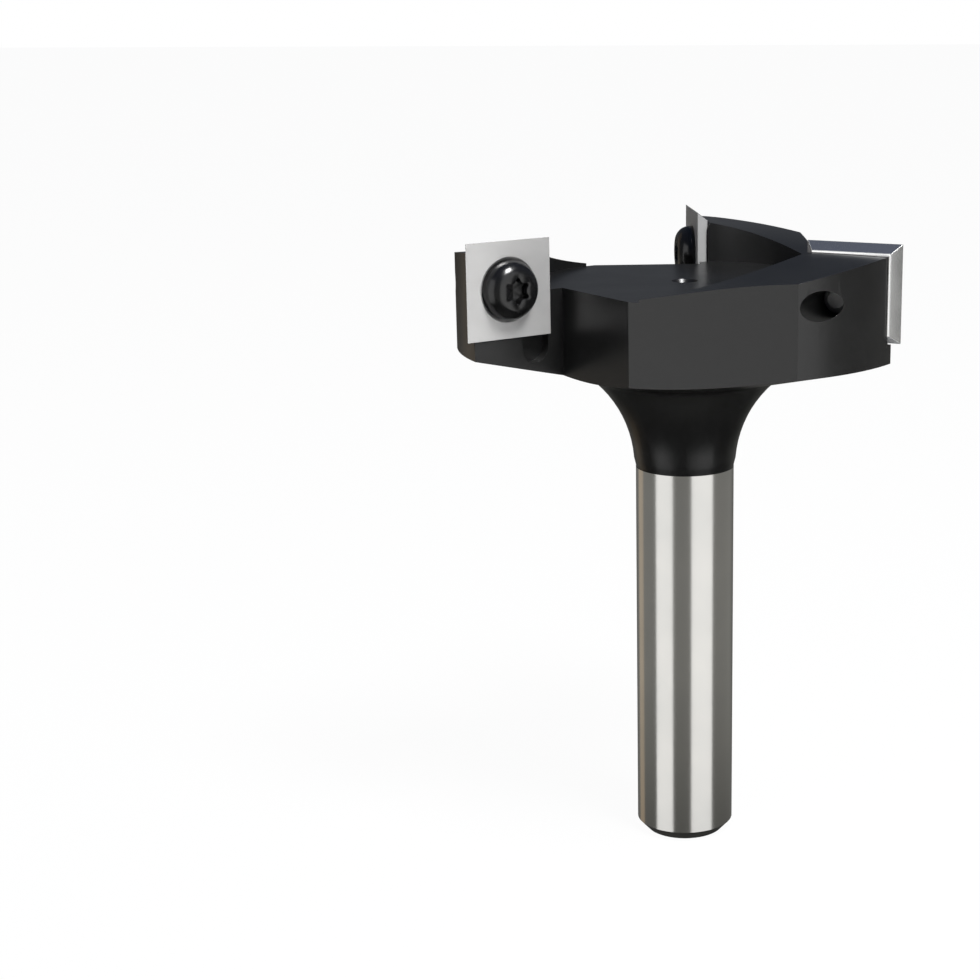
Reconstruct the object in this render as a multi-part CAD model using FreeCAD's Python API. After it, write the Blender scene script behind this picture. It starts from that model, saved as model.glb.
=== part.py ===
import FreeCAD, Part
import math
import os

# Surfacing router bit: a one-piece steel cutter body, three square reversible
# inserts and the three screws that hold them. Millimetres. The origin is the
# centre of the shank's foot and +Z runs up the axis to the cutting end.
# Each wing is drawn with its own u axis along +X (outwards) and its own t axis
# along +Y (the way the rake face looks), and is then turned into its place.

V = FreeCAD.Vector
UP = V(0, 0, 1)

wing_count = 3
first_wing_deg = 90.0

# Shank and neck. Heights on the head are measured up from the shank's top.
shank_diameter = 12.7
shank_length = 50.0
foot_chamfer_width = 1.25
foot_chamfer_height = 1.35
neck_step = 0.05
neck_lead_in = 1.2
neck_swell = 0.24
neck_mouth_diameter = 24.8
neck_arc_radius = 15.27

# Head
cutting_diameter = 60.0
body_setback = 1.1
underside_rim_height = 16.1
underside_slope_deg = 13.9
floor_height = 24.0
recess_radius = 19.1
gullet_wall_u = 15.75
gullet_wall_turn_deg = 1.6
heel_offset = 19.0
centre_mouth_diameter = 3.4
centre_pilot_diameter = 1.6
centre_cone_deg = 60.0
centre_point_deg = 120.0
centre_hole_depth = 4.0

# Relief ramp behind each seat: it starts level, falls in an easy S and ends at
# the heel corner, level with the floor of the recess. It leans down outwards.
ramp_start_deg = 13.5
ramp_end_deg = 92.0
ramp_linear_share = 0.565
ramp_lean = 0.038
ramp_steps = 10

# Insert, 12 x 12 x 1.5 with four edges
insert_side = 12.0
insert_thickness = 1.5
insert_relief_deg = 35.0
insert_base_height = 18.5
insert_bore_diameter = 4.0
insert_sink_depth = 0.7
insert_sink_diameter = 8.0
rake_offset = 4.12

# Seat of the insert in the body
lead_face_gap = 0.28
seat_gap = 0.05
wing_top_drop = 1.5
relief_slot_width = 3.8
relief_slot_reach = 3.4
relief_slot_rise = 2.0
relief_slot_offset = 0.25
relief_slot_extra = 0.1

# Clamping screw, domed head with a six-lobe recess
screw_diameter = 3.5
screw_length = 6.3
screw_tip_diameter = 2.0
screw_tip_chamfer = 0.75
screw_head_diameter = 7.3
screw_head_rise = 2.15
screw_head_flat_diameter = 4.8
screw_head_wall = 0.85
thread_clearance = 0.02
lobe_outer_diameter = 3.3
lobe_inner_diameter = 2.36
lobe_tip_radius = 0.27
lobe_depth = 1.2
lobe_count = 6
lobe_phase_deg = 30.0

# Worked out from the sizes above
shank_radius = shank_diameter / 2
cutting_radius = cutting_diameter / 2
body_radius = cutting_radius - body_setback
wing_pitch_deg = 360.0 / wing_count
underside_slope = math.tan(math.radians(underside_slope_deg))
rim_z = shank_length + underside_rim_height
floor_z = shank_length + floor_height
insert_base_z = shank_length + insert_base_height
insert_top_z = insert_base_z + insert_side
insert_z = insert_base_z + insert_side / 2
insert_outer_u = math.sqrt(cutting_radius ** 2 - rake_offset ** 2)
insert_u = insert_outer_u - insert_side / 2
insert_inner_u = insert_outer_u - insert_side
relief_inset = insert_thickness * math.tan(math.radians(insert_relief_deg))
seat_t = -(rake_offset + insert_thickness)
lead_t = -(rake_offset + lead_face_gap)
wing_top_z = insert_top_z - wing_top_drop
ramp_drop = wing_top_z - floor_z + ramp_lean * (body_radius - recess_radius)
screw_seat_t = -(rake_offset + insert_sink_depth)
overshoot = body_radius
headroom = insert_side


def polar(radius, angle_deg, z):
    """Point at a radius, an angle from +X and a height."""
    angle = math.radians(angle_deg)
    return V(radius * math.cos(angle), radius * math.sin(angle), z)


def polygon_face(points):
    """Flat face inside straight edges."""
    return Part.Face(Part.makePolygon(points + [points[0]]))


def turned(edges):
    """Solid of revolution about Z of a closed profile in the XZ plane."""
    face = Part.Face(Part.Wire(edges))
    return face.revolve(V(0, 0, 0), UP, 360)


def along_t(shape, u, t, z):
    """Turns a shape made along +Z to look along +t and sets it in its place."""
    placed = shape.copy()
    placed.rotate(V(0, 0, 0), V(1, 0, 0), -90)
    placed.translate(V(u, t, z))
    return placed


def into_wing(shape, index):
    """Copy of a wing's shape, turned to the wing's own angle."""
    placed = shape.copy()
    placed.rotate(V(0, 0, 0), UP, first_wing_deg + index * wing_pitch_deg)
    return placed


def neck_start():
    """Point where the neck's lead-in cone meets its hollow arc."""
    return V(shank_radius + neck_swell, 0, shank_length + neck_lead_in)


def neck_end():
    """Point where the neck's hollow arc meets the sloping underside."""
    radius = neck_mouth_diameter / 2
    return V(radius, 0, rim_z - underside_slope * (body_radius - radius))


def neck_arc():
    """Hollow arc from the neck's lead-in cone up to the underside."""
    start = neck_start()
    end = neck_end()
    chord = end - start
    half = chord.Length / 2
    sag = neck_arc_radius - math.sqrt(neck_arc_radius ** 2 - half ** 2)
    inwards = V(-chord.z, 0, chord.x).normalize()
    return Part.Arc(start, (start + end) * 0.5 + inwards * sag, end).toShape()


def turned_blank():
    """Shank, neck and solid head, as they leave the lathe."""
    lower = [
        V(0, 0, 0),
        V(shank_radius - foot_chamfer_width, 0, 0),
        V(shank_radius, 0, foot_chamfer_height),
        V(shank_radius, 0, shank_length),
        V(shank_radius - neck_step, 0, shank_length),
        neck_start(),
    ]
    upper = [
        neck_end(),
        V(body_radius, 0, rim_z),
        V(body_radius, 0, insert_top_z),
        V(0, 0, insert_top_z),
        V(0, 0, 0),
    ]
    edges = [Part.makeLine(a, b) for a, b in zip(lower, lower[1:])]
    edges.append(neck_arc())
    edges += [Part.makeLine(a, b) for a, b in zip(upper, upper[1:])]
    return turned(edges)


def recess():
    """Round recess that leaves the wings standing above the floor."""
    return Part.makeCylinder(recess_radius, headroom, V(0, 0, floor_z), UP)


def centre_hole():
    """Centre-drilled hole in the middle of the floor."""
    mouth = centre_mouth_diameter / 2
    pilot = centre_pilot_diameter / 2
    cone_depth = (mouth - pilot) / math.tan(math.radians(centre_cone_deg / 2))
    tip_depth = pilot / math.tan(math.radians(centre_point_deg / 2))
    points = [
        V(0, 0, floor_z + mouth),
        V(mouth, 0, floor_z + mouth),
        V(mouth, 0, floor_z),
        V(pilot, 0, floor_z - cone_depth),
        V(pilot, 0, floor_z - centre_hole_depth),
        V(0, 0, floor_z - centre_hole_depth - tip_depth),
        V(0, 0, floor_z + mouth),
    ]
    return turned([Part.makeLine(a, b) for a, b in zip(points, points[1:])])


def ramp_height(angle_deg, radius):
    """Height of the relief ramp at an angle behind the wing's own axis."""
    share = (angle_deg - ramp_start_deg) / (ramp_end_deg - ramp_start_deg)
    share = min(max(share, 0.0), 1.0)
    ease = (1 - math.cos(math.pi * share)) / 2
    fall = ramp_linear_share * share + (1 - ramp_linear_share) * ease
    return wing_top_z - ramp_drop * fall + ramp_lean * (body_radius - radius)


def ramp_edge(radius):
    """Curve of the ramp's height round one radius."""
    span = ramp_end_deg - ramp_start_deg
    angles = [ramp_start_deg + span * i / ramp_steps for i in range(-1, ramp_steps + 2)]
    points = [polar(radius, -a, ramp_height(a, radius)) for a in angles]
    curve = Part.BSplineCurve()
    curve.interpolate(points)
    return curve.toShape()


def ramp_cutter():
    """Everything above one wing's relief ramp."""
    inner = ramp_edge(recess_radius - body_setback)
    outer = ramp_edge(body_radius + body_setback)
    face = Part.makeRuledSurface(inner, outer)
    return face.extrude(UP * headroom)


def gullet_corner():
    """Point in plan where the gullet's wall meets the next wing's heel."""
    pitch = math.radians(wing_pitch_deg)
    lean = math.tan(math.radians(gullet_wall_turn_deg))
    reach = heel_offset - math.sin(pitch) * (gullet_wall_u - lean * lead_t)
    t = reach / (math.sin(pitch) * lean - math.cos(pitch))
    return V(gullet_wall_u + lean * (t - lead_t), t, 0)


def gullet_cutter():
    """Chip space in front of one wing, bounded by the next wing's heel."""
    corner = gullet_corner()
    far = corner + polar(2 * overshoot, wing_pitch_deg, 0)
    outline = [
        V(gullet_wall_u, lead_t, 0),
        V(2 * overshoot, lead_t, 0),
        V(2 * overshoot, far.y, 0),
        far,
        corner,
    ]
    prism = polygon_face(outline).extrude(UP * (insert_top_z + headroom - shank_length))
    prism.translate(V(0, 0, shank_length))
    return prism


def pocket_cutter():
    """Seat of one insert, open outwards and upwards."""
    low = V(insert_inner_u - seat_gap, seat_t, insert_base_z - seat_gap)
    depth = lead_t - seat_t + headroom
    return Part.makeBox(overshoot, depth, insert_side + headroom, low)


def relief_slot_cutter():
    """Milled slot that clears the lower inner corner of the insert."""
    radius = relief_slot_width / 2
    u = insert_inner_u + relief_slot_offset + radius
    low = insert_base_z - relief_slot_reach + radius
    high = insert_base_z + relief_slot_rise
    depth = lead_t - seat_t + relief_slot_extra + body_setback
    t = seat_t - relief_slot_extra
    slot = Part.makeBox(relief_slot_width, depth, high - low, V(u - radius, t, low))
    for z in (low, high):
        slot = slot.fuse(Part.makeCylinder(radius, depth, V(u, t, z), V(0, 1, 0)))
    return slot


def screw_hole_cutter():
    """Hole for the clamping screw, through to the outside of the wing."""
    radius = screw_diameter / 2 + thread_clearance
    return Part.makeCylinder(radius, overshoot, V(insert_u, seat_t, insert_z), V(0, -1, 0))


def cutter_body():
    """Shank, neck and winged head, one piece of steel."""
    body = turned_blank().cut(recess()).cut(centre_hole())
    wing_cutters = [
        ramp_cutter(),
        gullet_cutter(),
        pocket_cutter(),
        relief_slot_cutter(),
        screw_hole_cutter(),
    ]
    for index in range(wing_count):
        body = body.cut([into_wing(cutter, index) for cutter in wing_cutters])
    return body.removeSplitter()


def insert():
    """Square insert with four relieved edges and a sunk screw hole."""
    half = insert_side / 2
    back = half - relief_inset
    plate = Part.makeWedge(-back, -insert_thickness, -back, -half, -half,
                           back, 0, back, half, half)
    bore = Part.makeCylinder(insert_bore_diameter / 2, insert_thickness,
                             V(0, -insert_thickness, 0), V(0, 1, 0))
    sink_top = insert_sink_diameter / 2
    sink_floor = sink_top - insert_sink_depth
    sink = Part.makeCone(sink_floor, sink_top, insert_sink_depth,
                         V(0, -insert_sink_depth, 0), V(0, 1, 0))
    shaped = plate.cut(bore).cut(sink)
    shaped.translate(V(insert_u, -rake_offset, insert_z))
    return shaped


def lobe_profile():
    """Six-lobe outline of tangent arcs, in the XY plane."""
    tip = lobe_tip_radius
    tip_r = lobe_outer_diameter / 2 - tip
    waist = lobe_inner_diameter / 2
    half = math.pi / lobe_count
    lean = tip_r * math.cos(half)
    hollow = (tip ** 2 - tip_r ** 2 - waist ** 2 + 2 * waist * lean) / (2 * (waist - lean - tip))
    hollow_r = waist + hollow
    step = 180.0 / lobe_count
    edges = []
    for lobe in range(lobe_count):
        here = 2 * lobe * step
        tip_centre = polar(tip_r, here, 0)
        before = polar(hollow_r, here - step, 0)
        after = polar(hollow_r, here + step, 0)
        next_tip = polar(tip_r, here + 2 * step, 0)
        start = tip_centre + (before - tip_centre).normalize() * tip
        end = tip_centre + (after - tip_centre).normalize() * tip
        resume = next_tip + (after - next_tip).normalize() * tip
        edges.append(Part.Arc(start, polar(tip_r + tip, here, 0), end).toShape())
        edges.append(Part.Arc(end, polar(waist, here + step, 0), resume).toShape())
    return Part.Face(Part.Wire(edges))


def screw_blank():
    """Turned form of the screw along +Z, its seat face at zero."""
    radius = screw_diameter / 2
    head = screw_head_diameter / 2
    flat = screw_head_flat_diameter / 2
    seat = insert_sink_diameter / 2 - insert_sink_depth
    seat_rise = head - seat
    wall_top = insert_sink_depth + screw_head_wall
    top = insert_sink_depth + screw_head_rise
    rise = top - wall_top
    drop = (head ** 2 - flat ** 2 - rise ** 2) / (2 * rise)
    centre = V(0, 0, wall_top - drop)
    chord_middle = V((head + flat) / 2, 0, (wall_top + top) / 2)
    middle = centre + (chord_middle - centre).normalize() * math.hypot(head, drop)
    lower = [
        V(0, 0, -screw_length),
        V(screw_tip_diameter / 2, 0, -screw_length),
        V(radius, 0, -screw_length + screw_tip_chamfer),
        V(radius, 0, 0),
        V(seat, 0, 0),
        V(head, 0, seat_rise),
        V(head, 0, wall_top),
    ]
    edges = [Part.makeLine(a, b) for a, b in zip(lower, lower[1:])]
    edges.append(Part.Arc(lower[-1], middle, V(flat, 0, top)).toShape())
    edges.append(Part.makeLine(V(flat, 0, top), V(0, 0, top)))
    edges.append(Part.makeLine(V(0, 0, top), V(0, 0, -screw_length)))
    return turned(edges)


def screw():
    """Clamping screw with its six-lobe recess, seated in the insert."""
    top = insert_sink_depth + screw_head_rise
    recess_cutter = lobe_profile().extrude(UP * (lobe_depth + headroom))
    recess_cutter.rotate(V(0, 0, 0), UP, lobe_phase_deg)
    recess_cutter.translate(UP * (top - lobe_depth))
    blank = screw_blank().cut(recess_cutter)
    return along_t(blank, insert_u, screw_seat_t, insert_z)


def save(shape, name):
    """Writes one piece to its own file."""
    shape.exportStep(os.path.join("parts", name + ".step"))


def main():
    """Builds every piece and writes it out."""
    os.makedirs("parts", exist_ok=True)
    save(cutter_body(), "cutter_body")
    for index in range(wing_count):
        save(into_wing(insert(), index), "insert_%d" % (index + 1))
        save(into_wing(screw(), index), "insert_screw_%d" % (index + 1))


main()
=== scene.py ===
"""Looks of a surfacing router bit: finishes, edge breaks, clamping screws, studio."""
import logging
import math
from dataclasses import dataclass, field
from enum import Enum

import bmesh
import bpy
from mathutils import Euler, Matrix, Vector


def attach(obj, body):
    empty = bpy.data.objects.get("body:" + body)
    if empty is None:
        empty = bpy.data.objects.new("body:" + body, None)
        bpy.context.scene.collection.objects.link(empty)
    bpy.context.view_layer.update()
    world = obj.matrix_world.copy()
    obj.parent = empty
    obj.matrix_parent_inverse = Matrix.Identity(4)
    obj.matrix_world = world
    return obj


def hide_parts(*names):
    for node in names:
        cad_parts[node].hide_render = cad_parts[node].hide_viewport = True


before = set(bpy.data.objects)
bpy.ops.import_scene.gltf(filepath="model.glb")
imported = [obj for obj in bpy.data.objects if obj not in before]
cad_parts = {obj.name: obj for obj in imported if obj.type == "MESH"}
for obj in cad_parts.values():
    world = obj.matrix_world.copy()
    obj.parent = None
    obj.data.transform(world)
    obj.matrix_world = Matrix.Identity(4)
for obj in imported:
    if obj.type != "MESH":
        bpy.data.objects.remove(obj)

LOG = logging.getLogger("router_bit")
MM = 0.001
UP = Vector((0, 0, 1))
Colour = tuple[float, float, float]

# Places on the tool, from the part's own sizes. U runs outwards along a wing, T the way its
# rake face looks, and Z up from the foot of the shank.
WING_ANGLES_DEG = (90.0, 210.0, 330.0)
SHANK_TOP_Z = 50.0 * MM
HEAD_LOW_Z = 58.0 * MM
SCREW_AXIS_U = 23.7157 * MM
SCREW_AXIS_Z = 74.5 * MM
SCREW_HOLE_RADIUS = 1.77 * MM
RAKE_T = -4.12 * MM
SEAT_T = -5.62 * MM
SEAT_RIM_U = 28.0 * MM
SEAT_RIM_Z = 78.5 * MM
SLOT_U = (17.9 * MM, 21.85 * MM)
SLOT_Z = (65.0 * MM, 68.6 * MM)

# Tolerances for telling the node's own faces, edges and corners apart.
WELD_DISTANCE = 2e-7
FLAT_FOLD_DEG = 0.4
ON_PLANE = 2e-6
BELOW_LEVEL = 1e-6


class Grain(Enum):
    """How a surface was finished, which sets the pattern of its fine relief."""

    SATIN = "satin"
    GROUND_ROUND = "ground_round"
    SINTERED = "sintered"
    GLOSS = "gloss"


@dataclass(frozen=True)
class Finish:
    """A surface finish.

    Attributes:
        name: the material's name.
        slot: the record's material slot that it belongs to.
        colour: linear base colour.
        tint: second linear colour, mixed in by a cloudy mask.
        metallic: 0 for a coating, 1 for bare metal.
        roughness: lowest and highest roughness.
        grain: pattern of the fine relief.
        relief_mm: depth of the fine relief.
        grain_mm: size of the fine relief.
        cloud_mm: size of the cloudy mask.
    """

    name: str
    slot: str
    colour: Colour
    tint: Colour
    metallic: float
    roughness: tuple[float, float]
    grain: Grain
    relief_mm: float
    grain_mm: float
    cloud_mm: float


BLACK_SATIN = Finish(
    "black_satin", "black_steel", (0.0055, 0.0055, 0.0055), (0.008, 0.008, 0.008),
    metallic=0.0, roughness=(0.285, 0.33),
    grain=Grain.SATIN, relief_mm=0.0001, grain_mm=0.35, cloud_mm=5.0)
GROUND_STEEL = Finish(
    "ground_steel", "black_steel", (0.61, 0.60, 0.58), (0.57, 0.565, 0.55),
    metallic=1.0, roughness=(0.15, 0.19),
    grain=Grain.GROUND_ROUND, relief_mm=0.0001, grain_mm=0.06, cloud_mm=9.0)
# Dim, rough black for the walls of the screw holes and relief slots: painted shade, set for how
# these recesses are lit rather than a finish of their own.
RECESS_PAINTED_SHADE = Finish(
    "recess_painted_shade", "black_steel", (0.010, 0.010, 0.0095), (0.014, 0.014, 0.0135),
    metallic=0.0, roughness=(0.34, 0.42),
    grain=Grain.SATIN, relief_mm=0.0004, grain_mm=0.35, cloud_mm=3.0)
LAPPED_CARBIDE = Finish(
    "lapped_carbide", "insert_grey", (0.52, 0.515, 0.505), (0.49, 0.485, 0.475),
    metallic=0.46, roughness=(0.285, 0.32),
    grain=Grain.SINTERED, relief_mm=0.0, grain_mm=0.30, cloud_mm=3.0)
GROUND_CARBIDE = Finish(
    "ground_carbide", "insert_grey", (0.58, 0.58, 0.575), (0.54, 0.54, 0.535),
    metallic=0.93, roughness=(0.14, 0.20),
    grain=Grain.SINTERED, relief_mm=0.0, grain_mm=0.30, cloud_mm=2.6)
POLISHED_CARBIDE = Finish(
    "polished_carbide", "insert_grey", (0.88, 0.88, 0.87), (0.85, 0.85, 0.84),
    metallic=1.0, roughness=(0.08, 0.12),
    grain=Grain.SINTERED, relief_mm=0.0, grain_mm=0.30, cloud_mm=2.6)
# Paler, matt carbide on the flanks that face down or towards the cutter's axis and on the breaks
# towards the back: painted light, set for how these faces are lit rather than a finish of their
# own.
PAINTED_LIGHT_CARBIDE = Finish(
    "painted_light_carbide", "insert_grey", (0.47, 0.47, 0.465), (0.44, 0.44, 0.435),
    metallic=0.25, roughness=(0.30, 0.36),
    grain=Grain.SINTERED, relief_mm=0.0, grain_mm=0.30, cloud_mm=2.6)
BLACK_GLOSS = Finish(
    "black_gloss", "screw_black", (0.004, 0.004, 0.0045), (0.006, 0.006, 0.006),
    metallic=0.0, roughness=(0.20, 0.24),
    grain=Grain.GLOSS, relief_mm=0.0002, grain_mm=0.3, cloud_mm=2.0)
# Pale grey on the screw's thread and end: painted reflected light, so that the end shows light at
# the bottom of its dark hole.
SCREW_PAINTED_LIGHT = Finish(
    "screw_painted_light", "screw_black", (0.42, 0.42, 0.41), (0.36, 0.36, 0.35),
    metallic=0.3, roughness=(0.30, 0.42),
    grain=Grain.SATIN, relief_mm=0.0006, grain_mm=0.12, cloud_mm=1.5)

EVEN_GRAIN = (1.0, 1.0, 1.0)
STRETCH = {
    Grain.SATIN: EVEN_GRAIN,
    Grain.GROUND_ROUND: (0.03, 0.03, 1.0),
    Grain.SINTERED: EVEN_GRAIN,
    Grain.GLOSS: EVEN_GRAIN,
}
GRAIN_DETAIL = 1.0
CLOUD_DETAIL = 3.0
CLOUD_RANGE = (0.3, 0.7)


class FinishShop:
    """Makes each finish's material once and hands it out."""

    def __init__(self) -> None:
        """Starts with no materials and makes the shared relief group."""
        self._made: dict[str, bpy.types.Material] = {}
        self._relief = self._relief_group()

    @staticmethod
    def _relief_group() -> bpy.types.NodeTree:
        """Shared node group: fine relief and a cloudy mask.

        Returns:
            A group with a cloudy mask and a bumped normal as outputs.
        """
        tree = bpy.data.node_groups.new("surface_relief", "ShaderNodeTree")
        for name, kind, way in (
            ("Position", "NodeSocketVector", "INPUT"),
            ("Stretch", "NodeSocketVector", "INPUT"),
            ("Grain Scale", "NodeSocketFloat", "INPUT"),
            ("Cloud Scale", "NodeSocketFloat", "INPUT"),
            ("Depth", "NodeSocketFloat", "INPUT"),
            ("Cloud", "NodeSocketFloat", "OUTPUT"),
            ("Normal", "NodeSocketVector", "OUTPUT"),
        ):
            tree.interface.new_socket(name=name, in_out=way, socket_type=kind)
        entry = tree.nodes.new("NodeGroupInput")
        out = tree.nodes.new("NodeGroupOutput")
        stretched = tree.nodes.new("ShaderNodeVectorMath")
        stretched.operation = "MULTIPLY"
        grain = tree.nodes.new("ShaderNodeTexNoise")
        grain.inputs["Detail"].default_value = GRAIN_DETAIL
        cloud = tree.nodes.new("ShaderNodeTexNoise")
        cloud.inputs["Detail"].default_value = CLOUD_DETAIL
        ramp = tree.nodes.new("ShaderNodeMapRange")
        ramp.inputs["From Min"].default_value = CLOUD_RANGE[0]
        ramp.inputs["From Max"].default_value = CLOUD_RANGE[1]
        bump = tree.nodes.new("ShaderNodeBump")
        link = tree.links.new
        link(entry.outputs["Position"], stretched.inputs[0])
        link(entry.outputs["Stretch"], stretched.inputs[1])
        link(stretched.outputs["Vector"], grain.inputs["Vector"])
        link(entry.outputs["Grain Scale"], grain.inputs["Scale"])
        link(entry.outputs["Position"], cloud.inputs["Vector"])
        link(entry.outputs["Cloud Scale"], cloud.inputs["Scale"])
        link(cloud.outputs["Fac"], ramp.inputs["Value"])
        link(grain.outputs["Fac"], bump.inputs["Height"])
        link(entry.outputs["Depth"], bump.inputs["Distance"])
        link(ramp.outputs["Result"], out.inputs["Cloud"])
        link(bump.outputs["Normal"], out.inputs["Normal"])
        return tree

    def get(self, finish: Finish) -> bpy.types.Material:
        """Hands out a finish's material.

        Args:
            finish: the finish wanted.

        Returns:
            Its material, made on first use.
        """
        if finish.name not in self._made:
            self._made[finish.name] = self._make(finish)
        return self._made[finish.name]

    def _make(self, finish: Finish) -> bpy.types.Material:
        """Builds one finish's material.

        Args:
            finish: the finish to build.

        Returns:
            The new material.
        """
        material = bpy.data.materials.new(finish.name)
        material.use_nodes = True
        tree = material.node_tree
        shader = tree.nodes["Principled BSDF"]
        shader.inputs["Metallic"].default_value = finish.metallic
        place = tree.nodes.new("ShaderNodeTexCoord")
        relief = tree.nodes.new("ShaderNodeGroup")
        relief.node_tree = self._relief
        relief.inputs["Stretch"].default_value = STRETCH[finish.grain]
        relief.inputs["Grain Scale"].default_value = 1 / (finish.grain_mm * MM)
        relief.inputs["Cloud Scale"].default_value = 1 / (finish.cloud_mm * MM)
        relief.inputs["Depth"].default_value = finish.relief_mm * MM
        blend = tree.nodes.new("ShaderNodeMix")
        blend.data_type = "RGBA"
        blend.inputs["A"].default_value = (*finish.colour, 1)
        blend.inputs["B"].default_value = (*finish.tint, 1)
        rough = tree.nodes.new("ShaderNodeMapRange")
        rough.inputs["To Min"].default_value = finish.roughness[0]
        rough.inputs["To Max"].default_value = finish.roughness[1]
        link = tree.links.new
        link(place.outputs["Object"], relief.inputs["Position"])
        link(relief.outputs["Cloud"], blend.inputs["Factor"])
        link(relief.outputs["Cloud"], rough.inputs["Value"])
        link(blend.outputs["Result"], shader.inputs["Base Color"])
        link(rough.outputs["Result"], shader.inputs["Roughness"])
        if finish.relief_mm > 0:
            link(relief.outputs["Normal"], shader.inputs["Normal"])
        LOG.info("finish %s", finish.name)
        return material


def edge_angle(edge: bmesh.types.BMEdge) -> float:
    """Angle between an edge's two faces, in degrees.

    Args:
        edge: a mesh edge.

    Returns:
        The angle, or 0 at a border.
    """
    return math.degrees(edge.calc_face_angle(0.0))


def wing_frame(index: int) -> Matrix:
    """Frame of one wing: X outwards, Y the way its rake face looks, Z up.

    Args:
        index: the wing's number, from 0.

    Returns:
        The matrix from the wing's own frame to the row's frame.
    """
    return Matrix.Rotation(math.radians(WING_ANGLES_DEG[index]), 4, "Z")


def placed(mesh: bpy.types.Mesh, node: str, slot: str) -> bpy.types.Object:
    """Puts a finished mesh in the place of a CAD node.

    Args:
        mesh: the mesh, in the row's frame.
        node: the CAD node that it stands for.
        slot: the record's material slot that it belongs to; not used.

    Returns:
        The new piece.
    """
    piece = bpy.data.objects.new(mesh.name, mesh)
    bpy.context.scene.collection.objects.link(piece)
    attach(piece, "root")
    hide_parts(node)
    return piece


@dataclass
class DressedNode:
    """A CAD node's form again, welded and with its sharp edges broken.

    Attributes:
        node: the CAD node that the piece stands for.
        name: the piece's name.
        finish: finish of the whole piece.
        edge_break_mm: width of the edge break.
        fold_deg: smallest fold that gets an edge break.
    """

    node: str
    name: str
    finish: Finish
    edge_break_mm: float
    fold_deg: float = 28.0

    def wants_break(self, edge: bmesh.types.BMEdge) -> bool:
        """Says whether an edge gets an edge break.

        Args:
            edge: a fold of the welded form.

        Returns:
            True for every fold of this kind of piece.
        """
        return edge.is_manifold

    def prepare(self, skin: bmesh.types.BMesh) -> None:
        """Changes the welded form before its edge breaks; most pieces need nothing.

        Args:
            skin: the welded form.
        """

    def welded(self) -> bmesh.types.BMesh:
        """Welds the node's faceted form into one closed skin.

        Returns:
            The skin, its flat faces merged.
        """
        skin = bmesh.new()
        skin.from_mesh(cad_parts[self.node].data)
        bmesh.ops.remove_doubles(skin, verts=skin.verts, dist=WELD_DISTANCE)
        bmesh.ops.dissolve_limit(skin, angle_limit=math.radians(FLAT_FOLD_DEG),
                                 verts=skin.verts, edges=skin.edges)
        return skin

    def build(self, shop: FinishShop) -> bpy.types.Object:
        """Builds the piece and puts it in the node's place.

        Args:
            shop: where finishes come from.

        Returns:
            The finished piece.
        """
        skin = self.welded()
        self.prepare(skin)
        folds = []
        for edge in skin.edges:
            if edge_angle(edge) > self.fold_deg:
                edge.smooth = self.wants_break(edge)
                if edge.smooth:
                    folds.append(edge)
        bmesh.ops.bevel(skin, geom=folds, offset=self.edge_break_mm * MM, offset_type="OFFSET",
                        segments=2, profile=0.5, affect="EDGES", clamp_overlap=True)
        for face in skin.faces:
            face.smooth = True
        mesh = bpy.data.meshes.new(self.name)
        skin.to_mesh(mesh)
        skin.free()
        mesh.materials.append(shop.get(self.finish))
        piece = placed(mesh, self.node, self.finish.slot)
        weighted = piece.modifiers.new("weighted_normals", "WEIGHTED_NORMAL")
        weighted.mode = "FACE_AREA_WITH_ANGLE"
        weighted.keep_sharp = True
        LOG.info("piece %s: %d folds broken, %d faces", self.name, len(folds), len(mesh.polygons))
        return piece


class InsertFace(Enum):
    """Kinds of face on an insert, each with the place of its material on the piece."""

    LAPPED = 0
    GROUND = 1
    POLISHED = 2
    PALE_PAINTED_LIGHT = 3


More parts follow.
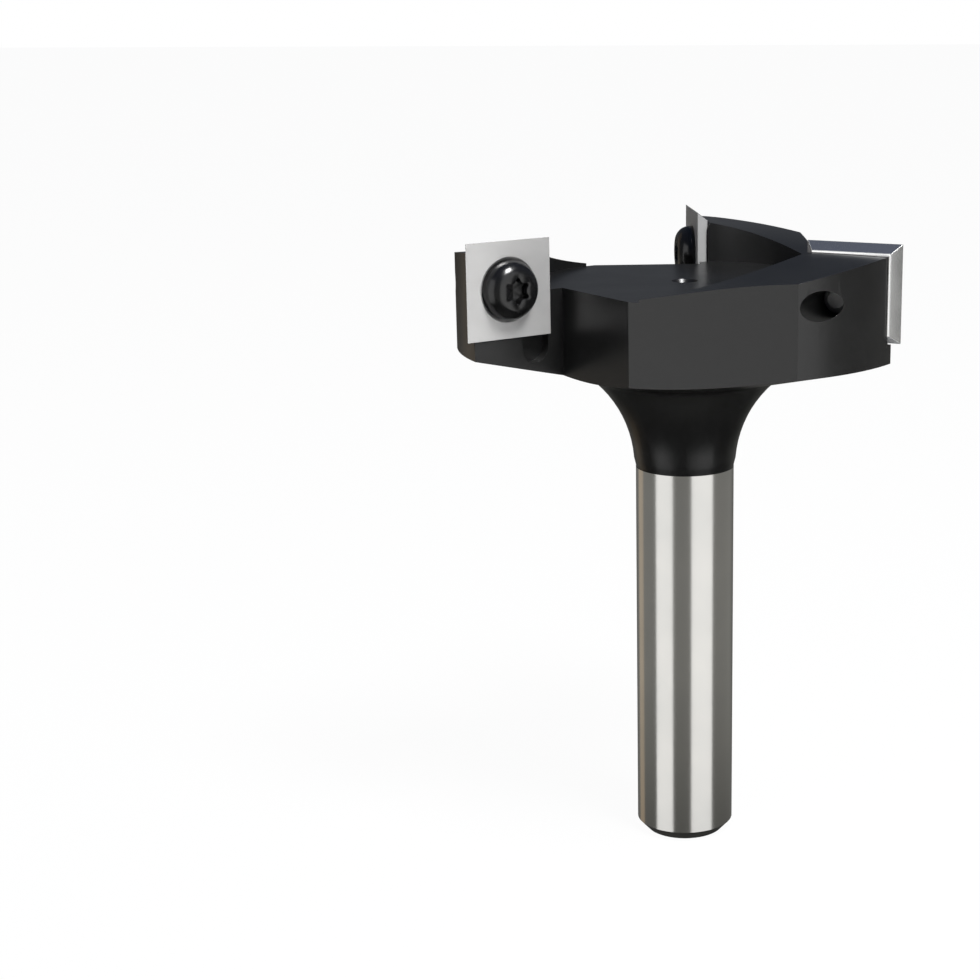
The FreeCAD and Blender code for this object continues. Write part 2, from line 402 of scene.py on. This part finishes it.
@dataclass
class Insert(DressedNode):
    """Square insert: lapped rake face, ground flanks, polished back, and painted light on the
    flanks that face down or towards the cutter's axis.

    The cosines are those of the angle between a face's normal and another direction.

    Attributes:
        flank_reach_mm: nearest that a flank comes to the insert's middle.
        flank_cosine: highest cosine to the rake face's normal that still makes a flank.
        back_cosine: cosine to the rake face's normal below which a face is the back.
        corner_cosine: the same for the break between a flank and the back.
        inward_cosine: cosine, towards the cutter's axis or down, that gives a flank the paler
            painted light.
    """

    flank_reach_mm: float = 5.0
    flank_cosine: float = 0.8
    back_cosine: float = -0.9
    corner_cosine: float = -0.62
    inward_cosine: float = -0.5

    def kind(self, polygon: bpy.types.MeshPolygon, middle: Vector, rake: Vector) -> InsertFace:
        """Tells which kind of face a polygon belongs to.

        Args:
            polygon: a polygon of the insert.
            middle: the insert's middle.
            rake: the rake face's normal.

        Returns:
            The kind of face.
        """
        facing = polygon.normal.dot(rake)
        if facing < self.back_cosine:
            return InsertFace.POLISHED
        reach = (polygon.center - middle).length
        if facing >= self.flank_cosine or reach <= self.flank_reach_mm * MM:
            return InsertFace.LAPPED
        # Flanks that face the cutter's axis or down, and the breaks towards the back, get the
        # paler painted light.
        outwards = Vector((middle.x, middle.y, 0)).dot(polygon.normal)
        inner = outwards < self.inward_cosine * middle.xy.length
        lower = polygon.normal.z < self.inward_cosine
        if inner or lower or facing < self.corner_cosine:
            return InsertFace.PALE_PAINTED_LIGHT
        return InsertFace.GROUND

    def build(self, shop: FinishShop) -> bpy.types.Object:
        """Builds the insert, with finishes of their own on its flanks and its back.

        Args:
            shop: where finishes come from.

        Returns:
            The finished insert.
        """
        piece = super().build(shop)
        for finish in (GROUND_CARBIDE, POLISHED_CARBIDE, PAINTED_LIGHT_CARBIDE):
            piece.data.materials.append(shop.get(finish))
        rake = max(piece.data.polygons, key=lambda polygon: polygon.area).normal.copy()
        corners = [vert.co for vert in piece.data.vertices]
        middle = sum(corners, Vector()) / len(corners)
        for polygon in piece.data.polygons:
            polygon.material_index = self.kind(polygon, middle, rake).value
        return piece


def on_seat(place: Vector) -> bool:
    """Says whether a point lies in the plane of a wing's insert seat.

    Args:
        place: the point, in the wing's own frame.

    Returns:
        True in the seat's plane.
    """
    return abs(place.y - SEAT_T) < ON_PLANE


@dataclass
class CutterBody(DressedNode):
    """The one-piece body: black head and neck, bare ground shank.

    Attributes:
        seat_chamfer_mm: width of the chamfer round an insert's seat.
        seat_drop_mm: how much lower the top chamfer ends on the seat.
        wall_cosine: most that a hole's or slot's wall leans towards the rake face's normal.
        hole_slack: how far past its radius a screw hole's wall is still told as its wall.
        wings: the way into each wing's own frame.
    """

    seat_chamfer_mm: float = 0.26
    seat_drop_mm: float = 0.32
    wall_cosine: float = 0.3
    hole_slack: float = 1.02
    wings: list[Matrix] = field(init=False, repr=False)

    def __post_init__(self) -> None:
        """Works out the way into each wing's own frame."""
        self.wings = [wing_frame(index).inverted() for index in range(len(WING_ANGLES_DEG))]

    def wants_break(self, edge: bmesh.types.BMEdge) -> bool:
        """Keeps the edge break to the head's long folds.

        Args:
            edge: a fold of the welded form.

        Returns:
            True where the fold lies on the head.
        """
        return edge.is_manifold and min(vert.co.z for vert in edge.verts) > HEAD_LOW_Z

    def on_rim(self, edge: bmesh.types.BMEdge) -> bool:
        """Says whether a fold is the top or outer rim of an insert's seat.

        Args:
            edge: a fold of the welded form.

        Returns:
            True on the rim of any of the three seats.
        """
        for wing in self.wings:
            ends = [wing @ vert.co for vert in edge.verts]
            outside = all(end.x > SEAT_RIM_U or end.z > SEAT_RIM_Z for end in ends)
            if outside and all(on_seat(end) for end in ends):
                return True
        return False

    def prepare(self, skin: bmesh.types.BMesh) -> None:
        """Chamfers the top and outer rim of each insert's seat.

        Args:
            skin: the welded form.
        """
        rim = [edge for edge in skin.edges
               if edge_angle(edge) >= self.fold_deg and self.on_rim(edge)]
        bmesh.ops.bevel(skin, geom=rim, offset=self.seat_chamfer_mm * MM, offset_type="OFFSET",
                        segments=1, affect="EDGES", clamp_overlap=True)
        for vert in skin.verts:
            places = [wing @ vert.co for wing in self.wings]
            if vert.co.z > SEAT_RIM_Z and any(on_seat(at) and at.x > 0 for at in places):
                vert.co.z -= self.seat_drop_mm * MM
        LOG.info("%d seat edges chamfered", len(rim))

    def in_shade(self, polygon: bpy.types.MeshPolygon) -> bool:
        """Says whether a face is the wall of a screw hole or of a relief slot, which gets painted
        shade.

        Args:
            polygon: a face of the body.

        Returns:
            True on the wall of any of the three holes or three slots.
        """
        for wing in self.wings:
            spot = wing @ polygon.center
            facing = wing @ polygon.normal
            if spot.y > 0.0 or abs(facing.y) > self.wall_cosine:
                continue
            reach = math.hypot(spot.x - SCREW_AXIS_U, spot.z - SCREW_AXIS_Z)
            in_hole = spot.y < RAKE_T and reach < SCREW_HOLE_RADIUS * self.hole_slack
            in_slot = SLOT_U[0] < spot.x < SLOT_U[1] and SLOT_Z[0] < spot.z < SLOT_Z[1]
            if in_hole or in_slot:
                return True
        return False

    def build(self, shop: FinishShop) -> bpy.types.Object:
        """Builds the body, with the ground finish on the shank and painted shade on the walls of
        its holes and slots.

        Args:
            shop: where finishes come from.

        Returns:
            The finished body.
        """
        piece = super().build(shop)
        piece.data.materials.append(shop.get(GROUND_STEEL))
        # Painted shade for the walls of the screw holes and relief slots.
        piece.data.materials.append(shop.get(RECESS_PAINTED_SHADE))
        for polygon in piece.data.polygons:
            if polygon.center.z < SHANK_TOP_Z - BELOW_LEVEL:
                polygon.material_index = 1
            elif self.in_shade(polygon):
                polygon.material_index = 2
        return piece


@dataclass
class ClampScrew:
    """Domed clamping screw with its six-lobe recess and its thread. Sizes in millimetres.

    Heights run along the screw's axis, from the insert's rake face outwards.

    Attributes:
        wing: number of its wing, from 0.
        around: points round each ring.
        top: height of the flat on the head.
        flat_radius: radius of that flat.
        dome_radius: radius of the arc between the flat and the wall.
        head_radius: radius of the head.
        wall_top: height where the arc starts.
        seat: height of the seat under the head.
        seat_radius: radius of the seat.
        lobe_tip: radius of a lobe's round tip.
        lobe_reach: radius out to the lobes' tips.
        waist: radius in to the hollows between the lobes.
        recess_depth: depth of the recess.
        recess_break: width of the break round the recess.
        recess_dip: how much lower the middle of the recess's floor lies.
        rim_break: width of the break under the head's wall.
        crest: radius of the thread's crest.
        root: radius of the thread's root.
        pitch: pitch of the thread.
        flank: steepness of the thread's flanks, in thread depths to a pitch.
        run_out: plain length between the seat and the thread.
        end: height of the screw's end.
        end_radius: radius of the end's flat.
        end_dent: depth of the shallow dent in the end.
        dome_steps: rings along the dome's arc.
        pitch_steps: rings along one pitch of the thread.
        sharp_deg: smallest fold that is shaded sharp.
    """

    wing: int
    around: int = 144
    top: float = 2.15
    flat_radius: float = 2.3
    dome_radius: float = 1.94
    head_radius: float = 3.65
    wall_top: float = 0.3
    seat: float = -0.7
    seat_radius: float = 3.3
    lobe_tip: float = 0.27
    lobe_reach: float = 1.65
    waist: float = 1.18
    recess_depth: float = 1.2
    recess_break: float = 0.06
    recess_dip: float = 0.08
    rim_break: float = 0.02
    crest: float = 1.745
    root: float = 1.45
    pitch: float = 0.6
    flank: float = 2.7
    run_out: float = 0.1
    end: float = -7.0
    end_radius: float = 1.0
    end_dent: float = 0.05
    dome_steps: int = 14
    pitch_steps: int = 8
    sharp_deg: float = 38.0

    def lobed(self, angle: float) -> float:
        """Radius of the six-lobe outline.

        Args:
            angle: direction round the axis, in radians.

        Returns:
            The outline's radius in that direction.
        """
        sector = math.pi / 3
        off = abs((angle % sector) - sector / 2)
        tip_at = self.lobe_reach - self.lobe_tip
        lean = tip_at * math.cos(sector / 2)
        spare = self.lobe_tip ** 2 - tip_at ** 2 - self.waist ** 2 + 2 * self.waist * lean
        hollow = spare / (2 * (self.waist - lean - self.lobe_tip))
        hollow_at = self.waist + hollow
        share = self.lobe_tip / (self.lobe_tip + hollow)
        touch = math.atan2(share * hollow_at * math.sin(sector / 2),
                           tip_at + share * (hollow_at * math.cos(sector / 2) - tip_at))
        if off <= touch:
            return tip_at * math.cos(off) + math.sqrt(
                self.lobe_tip ** 2 - (tip_at * math.sin(off)) ** 2)
        turn = sector / 2 - off
        return hollow_at * math.cos(turn) - math.sqrt(
            hollow ** 2 - (hollow_at * math.sin(turn)) ** 2)

    def threaded(self, angle: float, height: float) -> float:
        """Radius of the thread.

        Args:
            angle: direction round the axis, in radians.
            height: height along the axis.

        Returns:
            The thread's radius there, less the chamfer at the end.
        """
        phase = (height / self.pitch - angle / math.tau) % 1.0
        rise = min(1.0, max(0.0, self.flank * (0.5 - abs(phase - 0.5))))
        return min(self.root + (self.crest - self.root) * rise,
                   self.end_radius + (height - self.end))

    def head_profile(self) -> list[tuple[float, float]]:
        """Radii and heights of the round rings, from the flat's rim to under the head."""
        centre = self.head_radius - self.dome_radius
        start = math.asin((self.flat_radius - centre) / self.dome_radius)
        rings = []
        for step in range(self.dome_steps + 1):
            angle = start + (math.pi / 2 - start) * step / self.dome_steps
            rings.append((centre + self.dome_radius * math.sin(angle),
                          self.wall_top + self.dome_radius * math.cos(angle)))
        wall_foot = self.seat + self.head_radius - self.seat_radius
        rings.append((self.head_radius, wall_foot + 2 * self.rim_break))
        rings.append((self.head_radius - 1.5 * self.rim_break, wall_foot - self.rim_break))
        rings.append((self.seat_radius, self.seat))
        rings.append((self.crest, self.seat - self.rim_break))
        return rings

    def outline(self, grow: float) -> list[tuple[float, float]]:
        """Points of the six-lobe outline, moved evenly outwards.

        Args:
            grow: how far outwards, square to the outline.

        Returns:
            The points, in order round the axis.
        """
        angles = [math.tau * i / self.around for i in range(self.around)]
        points = [(self.lobed(a) * math.cos(a), self.lobed(a) * math.sin(a)) for a in angles]
        moved = []
        for i, (x, y) in enumerate(points):
            before = points[i - 1]
            after = points[(i + 1) % self.around]
            along = (after[0] - before[0], after[1] - before[1])
            length = math.hypot(*along)
            moved.append((x + along[1] / length * grow, y - along[0] / length * grow))
        return moved

    def recess_profile(self) -> list[tuple[float, float]]:
        """Growth of the outline and height of each ring, from the recess's floor to its rim."""
        floor = self.top - self.recess_depth
        wide = self.recess_break
        return [(-0.6, floor - 0.05), (-0.12, floor - 0.02), (-0.03, floor), (0.0, floor + 0.05),
                (0.0, self.top - wide), (wide * 0.3, self.top - wide * 0.3), (wide, self.top)]

    def rings(self) -> list[list[tuple[float, float, float]]]:
        """Every ring of points, from the recess's floor to the screw's end."""
        stack = []
        for grow, height in self.recess_profile():
            stack.append([(x, y, height) for x, y in self.outline(grow)])
        turns = [(math.cos(math.tau * i / self.around), math.sin(math.tau * i / self.around))
                 for i in range(self.around)]
        for radius, height in self.head_profile():
            stack.append([(radius * x, radius * y, height) for x, y in turns])
        start = self.seat - self.run_out
        steps = round((start - self.end) / self.pitch * self.pitch_steps)
        for step in range(steps + 1):
            height = start + (self.end - start) * step / steps
            ring = []
            for i, (x, y) in enumerate(turns):
                radius = self.threaded(math.tau * i / self.around, height)
                ring.append((radius * x, radius * y, height))
            stack.append(ring)
        return stack

    def build(self, shop: FinishShop) -> bpy.types.Object:
        """Builds the screw and puts it in its node's place.

        Args:
            shop: where finishes come from.

        Returns:
            The finished screw.
        """
        turn = wing_frame(self.wing)
        form = bmesh.new()

        def spot(x: float, y: float, height: float) -> bmesh.types.BMVert:
            """Adds a point given in the screw's own terms."""
            place = Vector((SCREW_AXIS_U + x * MM, RAKE_T + height * MM, SCREW_AXIS_Z - y * MM))
            return form.verts.new(turn @ place)

        loops = [[spot(*point) for point in ring] for ring in self.rings()]
        for first, second in zip(loops, loops[1:]):
            for i in range(self.around):
                k = (i + 1) % self.around
                form.faces.new((first[i], first[k], second[k], second[i]))
        middle = spot(0.0, 0.0, self.top - self.recess_depth - self.recess_dip)
        tip = spot(0.0, 0.0, self.end + self.end_dent)
        for loop, pole in ((loops[0], middle), (loops[-1], tip)):
            for i in range(self.around):
                form.faces.new((loop[i], loop[(i + 1) % self.around], pole))
        bmesh.ops.recalc_face_normals(form, faces=form.faces)
        mesh = bpy.data.meshes.new(f"clamp_screw_{self.wing + 1}")
        form.to_mesh(mesh)
        form.free()
        mesh.materials.append(shop.get(BLACK_GLOSS))
        mesh.materials.append(shop.get(SCREW_PAINTED_LIGHT))
        back = turn.inverted()
        # The thread and the end, below the head's seat, take the pale painted light.
        for polygon in mesh.polygons:
            polygon.material_index = int((back @ polygon.center).y < RAKE_T + self.seat * MM)
        mesh.shade_smooth()
        mesh.set_sharp_from_angle(angle=math.radians(self.sharp_deg))
        piece = placed(mesh, f"insert_screw_{self.wing + 1}", BLACK_GLOSS.slot)
        LOG.info("piece %s: %d faces", piece.name, len(mesh.polygons))
        return piece


@dataclass
class Strip:
    """A rectangular soft light.

    Attributes:
        name: the light's name.
        bearing_deg: where it stands, from the camera's side, to the right.
        height: height of its centre, in metres.
        reach: distance from the tool, in metres.
        size: width and height, in metres.
        radiance: brightness of its surface.
        colour: its linear colour.
        aim_height: height of the point on the tool's axis that it looks at, in metres.
    """

    name: str
    bearing_deg: float
    height: float
    reach: float
    size: tuple[float, float]
    radiance: float
    colour: Colour = (1.0, 1.0, 1.0)
    aim_height: float = 0.05

    def build(self, front: Vector) -> bpy.types.Object:
        """Makes the light.

        Args:
            front: level direction from the tool to the camera.

        Returns:
            The light's object.
        """
        lamp = bpy.data.lights.new(self.name, "AREA")
        lamp.shape = "RECTANGLE"
        lamp.size, lamp.size_y = self.size
        lamp.energy = self.radiance * math.pi * self.size[0] * self.size[1]
        lamp.color = self.colour
        holder = bpy.data.objects.new(self.name, lamp)
        away = Matrix.Rotation(math.radians(self.bearing_deg), 3, "Z") @ front
        holder.location = away * self.reach + UP * self.height
        sight = UP * self.aim_height - holder.location
        holder.rotation_euler = sight.to_track_quat("-Z", "Y").to_euler()
        holder.visible_camera = False
        bpy.context.scene.collection.objects.link(holder)
        LOG.info("light %s", self.name)
        return holder


LIGHTS = (
    Strip("strip_left", -50.0, 0.05, 0.62, (0.495, 0.90), 1.09),
    Strip("strip_right", 42.2, 0.05, 0.62, (0.63, 0.90), 1.09),
    Strip("back_left", -128.0, 0.05, 0.62, (0.26, 0.90), 0.24, colour=(1.0, 0.72, 0.42)),
    Strip("top_light", 42.0, 0.56, 0.30, (0.16, 0.22), 50.0, aim_height=0.075),
)

# The dim studio that the tool reflects, as places from straight down (0) to straight up (1),
# each with its linear colour. The second one stands behind the tool, within BEHIND_RANGE of
# the cosine between a level direction and the camera's side.
STUDIO_FRONT = (
    (0.0, (0.13, 0.13, 0.12)), (0.07, (0.03, 0.03, 0.027)), (0.28, (0.025, 0.025, 0.022)),
    (0.33, (0.255, 0.253, 0.235)), (0.39, (0.255, 0.253, 0.24)), (0.43, (0.16, 0.158, 0.15)),
    (0.50, (0.12, 0.12, 0.12)), (0.57, (0.085, 0.09, 0.10)), (0.66, (0.03, 0.04, 0.065)),
    (1.0, (0.02, 0.04, 0.10)))
STUDIO_BEHIND = (
    (0.0, (0.02, 0.02, 0.018)), (0.22, (0.02, 0.02, 0.018)), (0.30, (0.13, 0.128, 0.12)),
    (0.39, (0.13, 0.128, 0.12)), (0.44, (0.02, 0.018, 0.010)), (0.52, (0.11, 0.115, 0.125)),
    (0.57, (0.14, 0.147, 0.162)), (0.66, (0.04, 0.05, 0.07)), (1.0, (0.02, 0.04, 0.10)))
BEHIND_RANGE = (-0.96, -0.68)


@dataclass
class Studio:
    """Camera, pale floor and surroundings, with the soft lights set up in them.

    Attributes:
        camera_at: the camera's place, in metres.
        pitch_deg: tilt of the camera from straight down.
        yaw_deg: turn of the camera about the vertical.
        lens_mm: focal length.
        shift_x: sideways shift that the photo's framing needs.
        sensor_mm: width of the camera's sensor.
        near: nearest distance that the camera sees, in metres.
        mirrored_white: share of the white backdrop that the tool reflects.
        floor_reach: half the floor's width, in metres.
        floor_paleness: grey value of the floor.
        floor_glow: share of the floor that the camera sees as plain white.
    """

    camera_at: Vector
    pitch_deg: float
    yaw_deg: float
    lens_mm: float
    shift_x: float
    sensor_mm: float = 36.0
    near: float = 0.01
    mirrored_white: float = 0.02
    floor_reach: float = 4.0
    floor_paleness: float = 0.8
    floor_glow: float = 0.965

    def front(self) -> Vector:
        """Level direction from the tool to the camera's place."""
        return Vector((self.camera_at.x, self.camera_at.y, 0)).normalized()

    def camera(self) -> None:
        """Makes the camera."""
        data = bpy.data.cameras.new("camera")
        data.sensor_width = self.sensor_mm
        data.lens = self.lens_mm
        data.shift_x = self.shift_x
        data.clip_start = self.near
        holder = bpy.data.objects.new("camera", data)
        holder.location = self.camera_at
        holder.rotation_euler = Euler(
            (math.radians(self.pitch_deg), 0.0, math.radians(self.yaw_deg)))
        bpy.context.scene.collection.objects.link(holder)
        bpy.context.scene.camera = holder

    @staticmethod
    def colour_band(tree: bpy.types.NodeTree,
                    stops: tuple[tuple[float, Colour], ...]) -> bpy.types.Node:
        """Makes a colour ramp.

        Args:
            tree: the tree that the ramp goes into.
            stops: place and linear colour of each stop.

        Returns:
            The ramp's node.
        """
        node = tree.nodes.new("ShaderNodeValToRGB")
        elements = node.color_ramp.elements
        while len(elements) < len(stops):
            elements.new(0.5)
        for element, (at, colour) in zip(elements, stops):
            element.position = at
            element.color = (*colour, 1)
        return node

    def surroundings(self) -> None:
        """White behind the tool, and dim grey in what the tool reflects."""
        world = bpy.data.worlds.new("studio")
        world.use_nodes = True
        bpy.context.scene.world = world
        tree = world.node_tree
        tree.nodes.clear()
        out = tree.nodes.new("ShaderNodeOutputWorld")
        white = tree.nodes.new("ShaderNodeBackground")
        white.inputs["Color"].default_value = (1, 1, 1, 1)
        dim = tree.nodes.new("ShaderNodeBackground")
        path = tree.nodes.new("ShaderNodeLightPath")
        shown = tree.nodes.new("ShaderNodeMath")
        shown.operation = "MULTIPLY_ADD"
        shown.inputs[1].default_value = self.mirrored_white
        mix = tree.nodes.new("ShaderNodeMixShader")
        place = tree.nodes.new("ShaderNodeTexCoord")
        split = tree.nodes.new("ShaderNodeSeparateXYZ")
        level_way = tree.nodes.new("ShaderNodeVectorMath")
        level_way.operation = "MULTIPLY"
        level_way.inputs[1].default_value = (1, 1, 0)
        unit = tree.nodes.new("ShaderNodeVectorMath")
        unit.operation = "NORMALIZE"
        facing = tree.nodes.new("ShaderNodeVectorMath")
        facing.operation = "DOT_PRODUCT"
        facing.inputs[1].default_value = self.front()
        ahead = tree.nodes.new("ShaderNodeMapRange")
        ahead.interpolation_type = "SMOOTHSTEP"
        ahead.inputs["From Min"].default_value = BEHIND_RANGE[0]
        ahead.inputs["From Max"].default_value = BEHIND_RANGE[1]
        shade = tree.nodes.new("ShaderNodeMix")
        shade.data_type = "RGBA"
        level = tree.nodes.new("ShaderNodeMapRange")
        level.inputs["From Min"].default_value = -1.0
        level.inputs["From Max"].default_value = 1.0
        ramp = self.colour_band(tree, STUDIO_FRONT)
        behind = self.colour_band(tree, STUDIO_BEHIND)
        link = tree.links.new
        link(place.outputs["Generated"], split.inputs["Vector"])
        link(split.outputs["Z"], level.inputs["Value"])
        link(level.outputs["Result"], ramp.inputs["Fac"])
        link(level.outputs["Result"], behind.inputs["Fac"])
        link(place.outputs["Generated"], level_way.inputs[0])
        link(level_way.outputs["Vector"], unit.inputs[0])
        link(unit.outputs["Vector"], facing.inputs[0])
        link(facing.outputs["Value"], ahead.inputs["Value"])
        link(ahead.outputs["Result"], shade.inputs["Factor"])
        link(behind.outputs["Color"], shade.inputs["A"])
        link(ramp.outputs["Color"], shade.inputs["B"])
        link(shade.outputs["Result"], dim.inputs["Color"])
        link(path.outputs["Is Glossy Ray"], shown.inputs[0])
        link(path.outputs["Is Camera Ray"], shown.inputs[2])
        link(shown.outputs["Value"], mix.inputs["Fac"])
        link(dim.outputs["Background"], mix.inputs[1])
        link(white.outputs["Background"], mix.inputs[2])
        link(mix.outputs["Shader"], out.inputs["Surface"])

    def floor(self) -> None:
        """Pale floor that the tool stands on."""
        mesh = bpy.data.meshes.new("floor")
        reach = self.floor_reach
        mesh.from_pydata([(-reach, -reach, 0), (reach, -reach, 0), (reach, reach, 0),
                          (-reach, reach, 0)], [], [(0, 1, 2, 3)])
        piece = bpy.data.objects.new("floor", mesh)
        bpy.context.scene.collection.objects.link(piece)
        material = bpy.data.materials.new("pale_floor")
        material.use_nodes = True
        tree = material.node_tree
        tree.nodes.clear()
        out = tree.nodes.new("ShaderNodeOutputMaterial")
        glow = tree.nodes.new("ShaderNodeEmission")
        matt = tree.nodes.new("ShaderNodeBsdfDiffuse")
        matt.inputs["Color"].default_value = (*[self.floor_paleness] * 3, 1)
        path = tree.nodes.new("ShaderNodeLightPath")
        share = tree.nodes.new("ShaderNodeMath")
        share.operation = "MULTIPLY"
        share.inputs[1].default_value = self.floor_glow
        mix = tree.nodes.new("ShaderNodeMixShader")
        link = tree.links.new
        link(path.outputs["Is Camera Ray"], share.inputs[0])
        link(share.outputs["Value"], mix.inputs["Fac"])
        link(matt.outputs["BSDF"], mix.inputs[1])
        link(glow.outputs["Emission"], mix.inputs[2])
        link(mix.outputs["Shader"], out.inputs["Surface"])
        mesh.materials.append(material)
        piece.visible_glossy = False

    def build(self) -> None:
        """Makes the whole studio."""
        self.camera()
        for light in LIGHTS:
            light.build(self.front())
        self.surroundings()
        self.floor()
        bpy.context.scene.view_settings.view_transform = "Standard"
        LOG.info("studio ready")


def main() -> None:
    """Dresses the tool and sets up the studio."""
    logging.basicConfig(level=logging.INFO)
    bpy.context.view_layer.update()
    shop = FinishShop()
    CutterBody("cutter_body", "body_skin", BLACK_SATIN, edge_break_mm=0.15).build(shop)
    for index in range(len(WING_ANGLES_DEG)):
        Insert(f"insert_{index + 1}", f"insert_skin_{index + 1}", LAPPED_CARBIDE,
               edge_break_mm=0.06).build(shop)
        ClampScrew(index).build(shop)
    Studio(camera_at=Vector((-32.89, -246.07, 109.455)) * MM, pitch_deg=75.803,
           yaw_deg=-7.613, lens_mm=72.3, shift_x=-0.1988).build()


if __name__ == "__main__":
    main()
